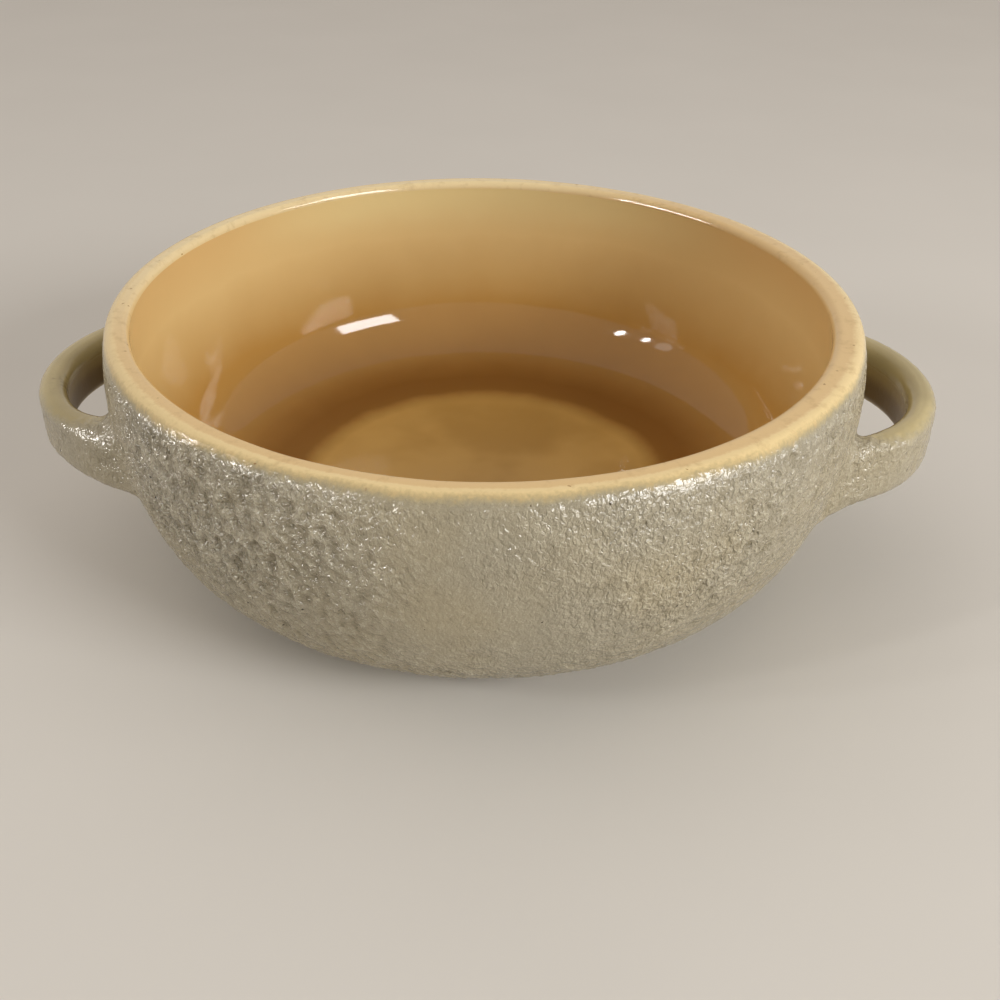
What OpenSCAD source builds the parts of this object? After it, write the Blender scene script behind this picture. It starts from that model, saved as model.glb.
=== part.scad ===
// Lug soup bowl: a thrown stoneware bowl with a flat rim of rounded edges, a rounded heel and a
// turned foot, and two level strap handles, one at each side, luted to the wall below the rim.
// The origin is the centre of the foot's resting plane. +Z is up, +X runs through the right
// handle and -Y is the front.

/* [Bowl] */
// Outside diameter of the rim
rim_d = 140; // [130:1:150]
// Height from the foot's resting plane to the top of the rim
bowl_h = 51.5; // [48:0.5:56]
// Thickness of the rim
rim_t = 5.1; // [4.9:0.1:6]
// Radius of the rim's outer edge
lip_r = 2; // [1.2:0.1:2.4]
// Radius of the rim's inner edge
lip_in_r = 1.3; // [0.9:0.1:2]
// How far the wall swells past the rim's radius at its widest level
belly_swell = 1; // [0.6:0.1:2]
// Depth of the widest level below the top of the rim
belly_drop = 11; // [9:0.5:14]
// Thickness of the wall at its widest level, glaze included
wall_t = 5.6; // [5:0.1:6]
// Upright radius of the outside of the wall below its widest level
wall_arc = 60; // [56:1:70]
// Upright radius of the rounded heel outside
heel_arc = 22; // [18:1:26]
// Upright radius of the inside of the wall below its widest level
inner_arc = 60; // [54:1:66]
// Upright radius of the corner between the inside wall and the floor
corner_arc = 15; // [12:1:18]
// Radius of the shallow dish of the floor
floor_arc = 500; // [400:10:700]
// Height of the middle of the floor above the resting plane
floor_z = 9.1; // [8:0.1:11]

/* [Foot] */
// Outside diameter of the foot ring
foot_d = 87; // [80:1:92]
// Width of the foot ring
foot_w = 5; // [4:0.5:7]
// Height of the foot ring outside, from the resting plane to the underside of the heel
foot_h = 3.5; // [2.5:0.1:4.5]
// Depth of the recess that is turned out inside the foot ring
recess_depth = 3.3; // [2:0.1:4]
// Radius of the wiped edges of the foot ring and of its inside corner
foot_edge_r = 0.7; // [0.4:0.1:1]

/* [Glaze] */
// Thickness of the fired glaze and of the rough outer coat
glaze_t = 0.5; // [0.3:0.05:0.8]
// Turn of the rim's outer edge, up from level, at which the rough coat meets the rim glaze
coat_start_a = 45; // [25:1:60]
// Turn of the heel, down from level, at which the rough coat ends and the clay is bare
coat_end_a = 78; // [70:1:84]

/* [Handles] */
// How far a handle stands out past the rim's radius
handle_reach = 17; // [14:0.1:20]
// Depth of the handle's top edge below the top of the rim
strap_drop = 15.8; // [13:0.1:18]
// Height of the strap, glaze included
strap_h = 12.5; // [10:0.1:15]
// Thickness of the strap, glaze included
strap_t = 5.2; // [4.6:0.1:6]
// Radius of the strap's rounded edges
strap_edge_r = 2.3; // [1.8:0.1:2.3]
// Plan radius of the strap's middle line
strap_arc = 27.5; // [25:0.1:31]

/* [Roots] */
// Turn of the strap at which its flared root begins, in degrees
root_start_a = 56; // [50:1:62]
// Flare of a root along the wall, on the outer side of the strap
root_out = 4.5; // [2:0.5:6]
// Flare of a root towards the finger gap
root_in = 4.5; // [3:0.5:6]
// Flare of a root downwards
root_down = 5.5; // [4:0.5:8]
// Flare of a root upwards
root_up = 2.5; // [1:0.5:4]

/* [Hidden] */
$fn = 144;

// Counts of steps that the curves take
lip_steps = 6;
neck_steps = 4;
wall_steps = 8;
heel_steps = 10;
floor_steps = 4;
edge_steps = 6;
flare_steps = 12;

// Radii and levels of the bowl
rim_r = rim_d / 2;
belly_r = rim_r + belly_swell;
inner_r = belly_r - wall_t;
belly_z = bowl_h - belly_drop;
lip_c = [rim_r - lip_r, bowl_h - lip_r];
lip_in_c = [rim_r - rim_t + lip_in_r, bowl_h - lip_in_r];
foot_r = foot_d / 2;
recess_r = foot_r - foot_w;

// The neck outside and the throat inside run from the rim's edges to the widest level. Their
// radii make them meet the rounded edges without a kink.
neck_arc = (pow(lip_c[0] - belly_r, 2) + pow(lip_c[1] - belly_z, 2) - pow(lip_r, 2))
    / (2 * belly_swell);
neck_c = [belly_r - neck_arc, belly_z];
neck_a = atan2(lip_c[1] - belly_z, lip_c[0] - neck_c[0]);
throat_arc = (pow(lip_in_c[0] - inner_r, 2) + pow(lip_in_c[1] - belly_z, 2) - pow(lip_in_r, 2))
    / (2 * (inner_r + lip_in_r - lip_in_c[0]));
throat_c = [inner_r - throat_arc, belly_z];
throat_a = atan2(lip_in_c[1] - belly_z, lip_in_c[0] - throat_c[0]);

// The heel's curve meets the outer wall's curve and the level underside
wall_c = [belly_r - wall_arc, belly_z];
heel_z = foot_h + heel_arc;
heel_c = [wall_c[0] + sqrt(pow(wall_arc - heel_arc, 2) - pow(belly_z - heel_z, 2)), heel_z];
heel_a = atan2(belly_z - heel_z, heel_c[0] - wall_c[0]);

// The inside corner's curve meets the inner wall's curve and the floor's dish
inner_c = [inner_r - inner_arc, belly_z];
floor_c = [0, floor_z + floor_arc];
corner_c = crossing(inner_c, inner_arc - corner_arc, floor_c, floor_arc - corner_arc);
corner_a = atan2(inner_c[1] - corner_c[1], corner_c[0] - inner_c[0]);
floor_a = atan2(corner_c[0], floor_c[1] - corner_c[1]);

// Places of the strap's curves
strap_z = bowl_h - strap_drop - strap_h / 2;
strap_x = rim_r + handle_reach - strap_t / 2 - strap_arc;
// Turn at which the strap's middle line runs straight on into the wall
root_end_a = 90;
// Length of the straight end that runs on into the wall's outline, where it is cut
root_sink = 2 * wall_t;
// How much rounder a root's section gets at the wall
root_round = root_up;

// Crossing of two circles on the +X side of the line between their centres
function crossing(p, rp, q, rq) =
    let (gap = norm(q - p), ahead = (rp * rp - rq * rq + gap * gap) / (2 * gap),
        aside = sqrt(rp * rp - ahead * ahead), way = (q - p) / gap)
    p + ahead * way + aside * [way[1], -way[0]];

// Points along an arc, from one angle to another
function arc(centre, radius, from, to, steps) =
    [for (k = [0:steps]) centre + radius * turn(from + (to - from) * k / steps)];

function turn(angle) = [cos(angle), sin(angle)];

function flip(list) = [for (k = [len(list) - 1:-1:0]) list[k]];

// The outside of the bowl, a depth under the glazed surface, from the rim downwards
function lip(depth, from, to) = arc(lip_c, lip_r - depth, from, to, lip_steps);
function neck(depth) = arc(neck_c, neck_arc - depth, neck_a, 0, neck_steps);
function outer_wall(depth) = arc(wall_c, wall_arc - depth, 0, -heel_a, wall_steps);
function heel(depth, to) = arc(heel_c, heel_arc - depth, -heel_a, -to, heel_steps);

function exterior(depth, to) = concat(neck(depth), outer_wall(depth), heel(depth, to));

// The inside of the bowl, a depth under the glazed surface, from the floor's middle upwards
function dish(depth) = arc(floor_c, floor_arc + depth, -90, floor_a - 90, floor_steps);
function corner(depth) = arc(corner_c, corner_arc + depth, floor_a - 90, -corner_a, heel_steps);
function inner_wall(depth) = arc(inner_c, inner_arc + depth, -corner_a, 0, wall_steps);
function throat(depth) = arc(throat_c, throat_arc + depth, 0, throat_a, neck_steps);
function lip_inside(depth) = arc(lip_in_c, lip_in_r - depth, 180 + throat_a, 90, lip_steps);

function interior(depth) = concat(dish(depth), corner(depth), inner_wall(depth), throat(depth));

// Outline of the turned foot, from the underside of the heel to the recess at the axis
function foot() = concat(
    arc([foot_r + foot_edge_r, foot_h + glaze_t - foot_edge_r], foot_edge_r, 90, 180, edge_steps),
    arc([foot_r - foot_edge_r, foot_edge_r], foot_edge_r, 0, -90, edge_steps),
    arc([recess_r + foot_edge_r, foot_edge_r], foot_edge_r, -90, -180, edge_steps),
    arc([recess_r - foot_edge_r, recess_depth - foot_edge_r], foot_edge_r, 0, 90, edge_steps),
    [[0, recess_depth]]);

// Outline of the strap with its rounded edges: half sizes outwards, inwards, up and down, the
// radius of its edges, and a depth under its surface. It starts at the outward side.
function strap_outline(outward, inward, up, down, edge, depth) =
    [for (q = [0:3]) for (k = [0:edge_steps])
        [q == 0 || q == 3 ? outward - edge : edge - inward, q < 2 ? up - edge : edge - down]
            + (edge - depth) * turn(90 * (q + k / edge_steps))];

function plain_outline(depth) =
    strap_outline(strap_t / 2, strap_t / 2, strap_h / 2, strap_h / 2, strap_edge_r, depth);

// One half of a skin on the strap, from the middle of one rounded edge to the opposite one
function half_outline(depth, first) =
    let (whole = plain_outline(depth), count = len(whole), start = first + edge_steps / 2)
    [for (k = [0:count / 2 + 1]) if (k <= count / 2) whole[(start + k) % count]];

// The skin that starts at the outer top edge holds the top and the inner face. The one that
// starts at the inner lower edge holds the underside and the outer face.
glaze_first = 0;
coat_first = 2 * (edge_steps + 1);

// One section of a root at a turn of the strap, on the back root of the right handle
function root_ring(angle, share, run) =
    let (g = pow(share, 3),
        outline = strap_outline(strap_t / 2 + g * root_out, strap_t / 2 + g * root_in,
            strap_h / 2 + g * root_up, strap_h / 2 + g * root_down,
            strap_edge_r + g * root_round, 0))
    [for (p = outline) [strap_x + (strap_arc + p[0]) * cos(angle) - run,
        (strap_arc + p[0]) * sin(angle), strap_z + p[1]]];

// Side triangles between rings of points, and the two ends
function loft_faces(rings, around) = concat(
    [for (i = [0:rings - 2]) for (j = [0:around - 1])
        let (a = i * around + j, b = i * around + (j + 1) % around)
        each [[a, b, a + around], [b, b + around, a + around]]],
    [[for (j = [around - 1:-1:0]) j], [for (j = [0:around - 1]) (rings - 1) * around + j]]);

// The whole root of a handle, strap included, before the wall is cut away
module root_blank() {
    rings = [for (k = [0:flare_steps])
        let (share = k / flare_steps)
        root_ring(root_start_a + (root_end_a - root_start_a) * share, share, 0)];
    last = root_ring(root_end_a, 1, root_sink);
    around = len(last);
    polyhedron([for (ring = concat(rings, [last])) each ring], loft_faces(flare_steps + 2, around));
}

// Sweeps an outline along the strap's curve, as far as a turn to the front and to the back
module along_strap(end_a) {
    translate([strap_x, 0, strap_z])
        rotate([0, 0, -end_a])
            rotate_extrude(angle = 2 * end_a)
                translate([strap_arc, 0]) children();
}

// The strap's clay, with straight ends that run on into the wall
module strap_clay() {
    along_strap(root_end_a) polygon(plain_outline(glaze_t));
    for (side = [0, 1])
        mirror([0, side, 0])
            translate([strap_x - root_sink, strap_arc, strap_z])
                rotate([90, 0, 90])
                    linear_extrude(root_sink) polygon(plain_outline(glaze_t));
}

// The clay wall as one full shape, which cuts what is luted to it
module wall_core() {
    rotate_extrude()
        polygon(concat([[0, bowl_h - glaze_t]], lip(glaze_t, 90, neck_a), exterior(glaze_t, 90),
            [[0, foot_h + glaze_t]]));
}

// Thrown and turned clay: wall, floor and foot
module bowl_body() {
    color("tan")
        rotate_extrude()
            polygon(concat(interior(glaze_t), lip_inside(glaze_t), lip(glaze_t, 90, neck_a),
                exterior(glaze_t, 90), foot()));
}

// Honey glaze of the inside, up to the lip
module interior_glaze() {
    color("goldenrod")
        rotate_extrude()
            polygon(concat(interior(0), flip(interior(glaze_t))));
}

// Cream glaze that wraps over the rim
module rim_glaze() {
    color("wheat")
        rotate_extrude()
            polygon(concat(lip_inside(0), lip(0, 90, coat_start_a),
                flip(concat(lip_inside(glaze_t), lip(glaze_t, 90, coat_start_a)))));
}

// Rough grey coat of the outside, open where the handles' roots meet the clay
module exterior_coat() {
    color("darkgray")
        difference() {
            rotate_extrude()
                polygon(concat(lip(0, coat_start_a, neck_a), exterior(0, coat_end_a),
                    flip(concat(lip(glaze_t, coat_start_a, neck_a),
                        exterior(glaze_t, coat_end_a)))));
            for (sx = [0, 1])
                for (sy = [0, 1])
                    mirror([sx, 0, 0]) mirror([0, sy, 0]) root_blank();
        }
}

// Clay strap of one handle, cut where it is luted to the wall
module strap() {
    color("gray")
        difference() {
            strap_clay();
            wall_core();
        }
}

// One of the two skins of a handle's strap
module strap_skin(first) {
    along_strap(root_start_a)
        polygon(concat(half_outline(0, first), flip(half_outline(glaze_t, first))));
}

// Clay that is pressed round the strap's end and smoothed out along the wall
module root() {
    color("silver")
        difference() {
            root_blank();
            strap_clay();
            wall_core();
        }
}

module left() mirror([1, 0, 0]) children();

module front() mirror([0, 1, 0]) children();

module right_handle() strap();

module right_handle_glaze() color("darkkhaki") strap_skin(glaze_first);

module right_handle_coat() color("darkgray") strap_skin(coat_first);

module right_back_root() root();

module right_front_root() front() root();

module left_handle() left() strap();

module left_handle_glaze() left() right_handle_glaze();

module left_handle_coat() left() right_handle_coat();

module left_back_root() left() root();

module left_front_root() left() front() root();

bowl_body();
interior_glaze();
rim_glaze();
exterior_coat();
left_handle();
left_handle_glaze();
left_handle_coat();
left_front_root();
left_back_root();
right_handle();
right_handle_glaze();
right_handle_coat();
right_front_root();
right_back_root();
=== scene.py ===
"""Looks of the lug soup bowl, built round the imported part.

The bowl is stoneware: a thrown body, a honey glaze inside, a cream glaze over the rim, a rough
sandy coat outside and two strap handles that are glazed olive on top and inside. Each CAD node
gets one fine surface that stands where the node is. Lengths are millimetres until a mesh is made.
"""

import logging
import math
from collections.abc import Callable
from dataclasses import dataclass, field
from enum import Enum
from functools import cached_property
from itertools import product

import bpy
import numpy as np
from mathutils import Matrix, Vector


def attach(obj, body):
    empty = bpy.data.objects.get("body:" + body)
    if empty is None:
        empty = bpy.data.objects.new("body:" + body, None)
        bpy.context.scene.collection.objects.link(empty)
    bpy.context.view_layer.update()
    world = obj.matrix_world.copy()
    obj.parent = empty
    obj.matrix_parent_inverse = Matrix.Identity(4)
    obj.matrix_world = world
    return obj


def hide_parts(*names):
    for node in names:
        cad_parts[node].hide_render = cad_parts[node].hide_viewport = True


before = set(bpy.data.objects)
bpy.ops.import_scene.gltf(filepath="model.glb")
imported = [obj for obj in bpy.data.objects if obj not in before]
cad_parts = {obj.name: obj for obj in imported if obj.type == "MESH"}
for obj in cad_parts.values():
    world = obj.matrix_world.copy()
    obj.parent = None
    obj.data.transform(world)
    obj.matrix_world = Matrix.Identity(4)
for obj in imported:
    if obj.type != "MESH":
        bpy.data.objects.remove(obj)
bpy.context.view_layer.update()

MM = 0.001
BODY = "root"
NO_FANS = np.zeros((0, 3), int)
# Points on an arc of a profile and on a quarter turn of a strap's edge.
ARC_POINTS = 49
QUARTER = 25
# An edge is sharp from this angle in degrees.
SHARP_ANGLE = 65.0
# A lamp is an ellipse up to this width in metres, and each lamp looks at this place.
SPOT_WIDTH = 0.1
AIM = Vector((0, 0, 0.03))
log = logging.getLogger("bowl")

Array = np.ndarray
Marks = dict[str, Array]
Piece = bpy.types.Object
Pair = tuple[float, float]
Triple = tuple[float, float, float]
Line = Callable[[float], Array]


class Side(Enum):
    """Which handle: its sign along X."""

    LEFT = -1
    RIGHT = 1


class End(Enum):
    """Which end of a handle: its sign along Y."""

    FRONT = -1
    BACK = 1


class Slot(Enum):
    """The record's material slots."""

    CLAY = "stoneware"
    HONEY = "honey_glaze"
    CREAM = "cream_glaze"
    COAT = "rough_coat"
    OLIVE = "olive_glaze"


Finishes = dict[Slot, bpy.types.Material]


# Small maths


def smooth(low: float, high: float, x: Array) -> Array:
    """Smooth step: 0 under low, 1 over high, 3t^2 - 2t^3 between."""
    t = np.clip((x - low) / (high - low), 0, 1)
    return t * t * (3 - 2 * t)


def apart(a: Array, b: Array) -> Array:
    """Distances of points from other points."""
    return np.linalg.norm(a - b, axis=-1)


def unit(v: Array) -> Array:
    """Vectors brought to length 1."""
    return v / np.maximum(np.linalg.norm(v, axis=-1, keepdims=True), 1e-9)


def arc(centre: Pair, radius: float, start: float, stop: float) -> Array:
    """Points centre + radius * (cos a, sin a) of distance and height, for start to stop degrees."""
    a = np.radians(np.linspace(start, stop, ARC_POINTS))
    return np.stack([centre[0] + radius * np.cos(a), centre[1] + radius * np.sin(a)], 1)


def length_along(line: Array) -> Array:
    """Length from the line's first point to each of its points."""
    return np.append(0, np.cumsum(apart(line[1:], line[:-1])))


def resample(line: Array, spacing: float) -> Array:
    """The same line with points about spacing apart, at equal lengths along it."""
    along = length_along(line)
    count = max(2, int(round(along[-1] / spacing)) + 1)
    at = np.linspace(0, along[-1], count)
    return np.stack([np.interp(at, along, line[:, k]) for k in range(line.shape[1])], 1)


def turned(profile: Array, count: int) -> Array:
    """Rows of distance r and height z carried round the axis: (r cos a, r sin a, z) for count a."""
    a = np.linspace(0, 2 * math.pi, count, endpoint=False)
    r, z = profile[:, 0, None], profile[:, 1, None]
    return np.stack([r * np.cos(a), r * np.sin(a), np.broadcast_to(z, (len(profile), count))], 2)


def grid_normals(grid: Array) -> Array:
    """Unit normals of a grid of rings: (change along rows) x (change along columns)."""
    return unit(np.cross(np.gradient(grid, axis=0), np.roll(grid, -1, 1) - np.roll(grid, 1, 1)))


def raised(grid: Array, lift: Array) -> Array:
    """The grid moved along its normals by lift."""
    return grid + grid_normals(grid) * lift[..., None]


class Noise:
    """Repeatable noise fields over space, worked out on whole arrays."""

    TABLE = 256
    GAIN = 1.5

    def __init__(self, seed: int) -> None:
        """Makes the tables of mixed numbers and directions from a seed."""
        draw = np.random.RandomState(seed)
        self.mix = np.concatenate([draw.permutation(self.TABLE)] * 2)
        self.ways = unit(draw.normal(size=(self.TABLE, 3)))
        self.spots = draw.uniform(size=(self.TABLE, 3))

    def _pick(self, cell: Array) -> Array:
        """A table index for each lattice cell."""
        x, y, z = (cell[..., k] % self.TABLE for k in range(3))
        return self.mix[self.mix[self.mix[x] + y] + z]

    def waves(self, points: Array, size: float) -> Array:
        """Gradient noise in cells of a size, about -1 to 1.

        It blends eight corner slopes with the weight 6t^5 - 15t^4 + 10t^3.
        """
        p = points / size
        cell = np.floor(p).astype(np.int64)
        t = p - cell
        w = t * t * t * (t * (6 * t - 15) + 10)
        total = np.zeros(p.shape[:-1])
        for corner in product((0, 1), repeat=3):
            c = np.array(corner)
            slope = self.ways[self._pick(cell + c)]
            share = np.prod(np.where(c == 1, w, 1 - w), axis=-1)
            total += share * np.einsum("...j,...j->...", t - c, slope)
        return total * self.GAIN

    def grains(self, points: Array, size: float, radius: float) -> Array:
        """Packed round grains, one in each cell: the greatest of 1 - (d / radius)^2, or 0.

        The distance d to a grain's middle and the radius are shares of a cell's size.
        """
        p = points / size
        cell = np.floor(p).astype(np.int64)
        high = np.zeros(p.shape[:-1])
        for corner in product((-1, 0, 1), repeat=3):
            near = cell + np.array(corner)
            gap = apart(near + self.spots[self._pick(near)], p)
            high = np.maximum(high, 1 - (gap / radius) ** 2)
        return high


# Meshes


def patches(index: Array) -> Array:
    """The quads between the rows and columns of a grid of point numbers."""
    a, b = index[:-1], index[1:]
    return np.stack([a[:, :-1], b[:, :-1], b[:, 1:], a[:, 1:]], 2).reshape(-1, 4)


def solid(
    name: str, grid: Array, *, flip: bool = False, loop: bool = True, marks: Marks | None = None
) -> Piece:
    """Makes a closed mesh from a grid whose columns are rings.

    Args:
        name: the piece's name.
        grid: (n, m, 3) points in millimetres.
        flip: whether the faces are wound the other way, for a mirrored piece.
        loop: whether the last row joins the first one. If not, the first and last rows are
            closed with fans round their middles.
        marks: point attributes by name, each an (n, m) array.

    Returns:
        The new object, at the origin.
    """
    n, m = grid.shape[:2]
    points = grid.reshape(-1, 3)
    index = np.arange(n * m).reshape(n, m)
    quads = patches(np.pad(index, ((0, int(loop)), (0, 1)), "wrap"))
    fans = NO_FANS
    values = {k: v.reshape(-1) for k, v in (marks or {}).items()}
    if not loop:
        points = np.concatenate([points, grid[[0, -1]].mean(axis=1)])
        first, last = index[0], index[-1]
        fans = np.concatenate([
            np.stack([np.full(m, n * m), first, np.roll(first, -1)], 1),
            np.stack([np.full(m, n * m + 1), np.roll(last, -1), last], 1),
        ])
        values = {k: np.append(v, v[[0, -1]]) for k, v in values.items()}
    if flip:
        quads, fans = quads[:, ::-1], fans[:, ::-1]
    return finished(name, points, quads, fans, values)


def placed(name: str, data: bpy.types.ID) -> Piece:
    """Puts a new object in the scene, at the origin."""
    piece = bpy.data.objects.new(name, data)
    bpy.context.scene.collection.objects.link(piece)
    return piece


def finished(name: str, points: Array, quads: Array, fans: Array, values: Marks) -> Piece:
    """Puts points in millimetres, faces and point attributes into a smooth mesh."""
    mesh = bpy.data.meshes.new(name)
    mesh.from_pydata((points * MM).tolist(), [], quads.tolist() + fans.tolist())
    for key, value in values.items():
        mesh.attributes.new(key, "FLOAT", "POINT").data.foreach_set("value", value.astype(np.float32))
    mesh.shade_smooth()
    mesh.set_sharp_from_angle(angle=math.radians(SHARP_ANGLE))
    return placed(name, mesh)


def slab(name: str, outer: Array, under: Array, *, flip: bool, marks: Marks) -> Piece:
    """Makes a closed sheet from two grids, one over the other, joined round their borders.

    Args:
        name: the piece's name.
        outer: (n, m, 3) points of the seen side, in millimetres.
        under: as many points of the hidden side.
        flip: as for solid.
        marks: as for solid.

    Returns:
        The new object, at the origin.
    """
    n, m = outer.shape[:2]
    i = np.arange(n * m).reshape(n, m)
    top = patches(i)
    edge = np.concatenate([i[0, :-1], i[:-1, -1], i[-1, :0:-1], i[:0:-1, 0]])
    ahead = np.roll(edge, -1)
    sides = np.stack([edge, ahead, ahead + n * m, edge + n * m], 1)
    faces = np.concatenate([top, top[:, ::-1] + n * m, sides])
    points = np.concatenate([outer.reshape(-1, 3), under.reshape(-1, 3)])
    values = {k: np.concatenate([v.reshape(-1)] * 2) for k, v in marks.items()}
    return finished(name, points, faces[:, ::-1] if flip else faces, NO_FANS, values)


def dress(piece: Piece, node: str, slot: Slot, finishes: Finishes) -> None:
    """Gives a piece the finish of its slot and its body, and hides the CAD node that it stands for."""
    piece.data.materials.append(finishes[slot])
    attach(piece, BODY)
    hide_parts(node)
    log.info("%s stands for %s: %d faces", piece.name, node, len(piece.data.polygons))


# Shapes


@dataclass(frozen=True)
class BowlShape:
    """Sizes of the thrown bowl, as the part has them, and its curves.

    In a name, _r is a radius or a distance from the axis, _t a thickness, _z a height, _c a
    centre, and _arc the radius of a curve of the profile. The grids stop at hub_r by the axis.
    """

    rim_r: float = 70.0
    height: float = 51.5
    rim_t: float = 5.1
    lip_r: float = 2.0
    lip_in_r: float = 1.3
    belly_r: float = 71.0
    belly_z: float = 40.5
    inner_r: float = 65.4
    wall_arc: float = 60.0
    heel_arc: float = 22.0
    inner_arc: float = 60.0
    corner_arc: float = 15.0
    floor_arc: float = 500.0
    floor_z: float = 9.1
    foot_r: float = 43.5
    foot_w: float = 5.0
    foot_h: float = 3.5
    recess_depth: float = 3.3
    foot_edge_r: float = 0.7
    hub_r: float = 0.5
    glaze_t: float = 0.5
    relief_depth: float = 0.35
    coat_start: float = 45.0
    coat_end: float = 78.0

    @cached_property
    def lip_c(self) -> Pair:
        """Centre of the rim's outer edge."""
        return self.rim_r - self.lip_r, self.height - self.lip_r

    @cached_property
    def lip_in_c(self) -> Pair:
        """Centre of the rim's inner edge."""
        return self.rim_r - self.rim_t + self.lip_in_r, self.height - self.lip_in_r

    @cached_property
    def neck(self) -> Pair:
        """Radius of the outside curve from the rim to the belly, and where it meets the rim."""
        return self.tangent(self.lip_c, self.lip_r, self.belly_r)

    @cached_property
    def throat(self) -> Pair:
        """The same of the inside curve."""
        return self.tangent(self.lip_in_c, -self.lip_in_r, self.inner_r)

    def tangent(self, edge: Pair, edge_r: float, belly: float) -> Pair:
        """The curve that is upright at the belly and runs into a rounded edge of the rim.

        The edge's centre lies (dx, dz) from the curve's lower end, and edge_r is negative where
        the edge bends the other way. Gives the radius, (dx^2 + dz^2 - edge_r^2) /
        (-2 (edge_r + dx)), and the turn at which they meet.
        """
        dx, dz = edge[0] - belly, edge[1] - self.belly_z
        radius = (dx**2 + dz**2 - edge_r**2) / (-2 * (edge_r + dx))
        return radius, math.degrees(math.atan2(dz, dx + radius))

    @cached_property
    def heel(self) -> Triple:
        """Centre of the heel's curve and the turn at which it meets the wall's curve."""
        z = self.foot_h + self.heel_arc
        drop = self.belly_z - z
        x = self.belly_r - self.wall_arc
        away = math.sqrt((self.wall_arc - self.heel_arc) ** 2 - drop**2)
        return x + away, z, math.degrees(math.atan2(drop, away))

    @cached_property
    def corner(self) -> tuple[float, float, float, float]:
        """Centre of the inside corner's curve, its turn at the wall and its turn at the floor."""
        p = np.array([self.inner_r - self.inner_arc, self.belly_z])
        q = np.array([0, self.floor_z + self.floor_arc])
        rp, rq = self.inner_arc - self.corner_arc, self.floor_arc - self.corner_arc
        gap = np.linalg.norm(q - p)
        ahead = (rp * rp - rq * rq + gap * gap) / (2 * gap)
        way = (q - p) / gap
        c = p + ahead * way + math.sqrt(rp * rp - ahead * ahead) * np.array([way[1], -way[0]])
        wall = math.degrees(math.atan2(p[1] - c[1], c[0] - p[0]))
        return c[0], c[1], wall, math.degrees(math.atan2(c[0], q[1] - c[1]))

    def rim(self, depth: float) -> Array:
        """Line over the rim, from the throat to the coat's upper border."""
        inner = arc(self.lip_in_c, self.lip_in_r - depth, 180 + self.throat[1], 90)
        return np.concatenate([inner, arc(self.lip_c, self.lip_r - depth, 90, self.coat_start)])

    def outside(self, depth: float, stop: float | None = None) -> Array:
        """Line down the outside, from the coat's upper border to its end, or to a turn."""
        radius, turn = self.neck
        hx, hz, ha = self.heel
        return np.concatenate([
            arc(self.lip_c, self.lip_r - depth, self.coat_start, turn),
            arc((self.belly_r - radius, self.belly_z), radius - depth, turn, 0)[1:],
            arc((self.belly_r - self.wall_arc, self.belly_z), self.wall_arc - depth, 0, -ha)[1:],
            arc((hx, hz), self.heel_arc - depth, -ha, -(stop or self.coat_end))[1:],
        ])

    def inside(self, depth: float) -> Array:
        """Line up the inside, from the floor's middle to the rim."""
        cx, cz, ca, fa = self.corner
        radius, turn = self.throat
        top = self.floor_z + self.floor_arc
        return np.concatenate([
            arc((0, top), self.floor_arc + depth, -90, fa - 90),
            arc((cx, cz), self.corner_arc + depth, fa - 90, -ca)[1:],
            arc((self.inner_r - self.inner_arc, self.belly_z), self.inner_arc + depth, -ca, 0)[1:],
            arc((self.inner_r - radius, self.belly_z), radius + depth, 0, turn)[1:],
        ])

    def foot(self) -> Array:
        """Line round the turned foot, from the heel's underside to the axis."""
        e, z = self.foot_edge_r, self.foot_h + self.glaze_t
        recess = self.foot_r - self.foot_w
        return np.concatenate([
            arc((self.foot_r + e, z - e), e, 90, 180),
            arc((self.foot_r - e, e), e, 0, -90),
            arc((recess + e, e), e, -90, -180),
            arc((recess - e, self.recess_depth - e), e, 0, 90),
            [[self.hub_r, self.recess_depth]],
        ])

    @cached_property
    def wall(self) -> Array:
        """The coated wall's distances from the axis and heights, from the foot upwards."""
        return self.outside(0, 90)[::-1].T

    def wall_gap(self, points: Array) -> Array:
        """Distance of points from the coated wall, positive outside: (r - R(z)) / sqrt(1 + R'^2)."""
        far, high = self.wall
        slope = np.gradient(far, high + np.arange(len(high)) * 1e-7)
        r, z = np.hypot(points[..., 0], points[..., 1]), points[..., 2]
        return (r - np.interp(z, high, far)) / np.sqrt(1 + np.interp(z, high, slope) ** 2)

    def on_wall(self, points: Array, depth: float) -> Array:
        """Points moved level onto the coated wall, a depth under it."""
        far, high = self.wall
        r = np.interp(points[..., 2], high, far) - depth
        now = np.hypot(points[..., 0], points[..., 1])
        return np.stack([points[..., 0] * r / now, points[..., 1] * r / now, points[..., 2]], -1)


@dataclass(frozen=True)
class Patch:
    """A part of the wall where the coat is coarser: from start on along way, by up to more."""

    start: float
    more: float
    way: Triple


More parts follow.
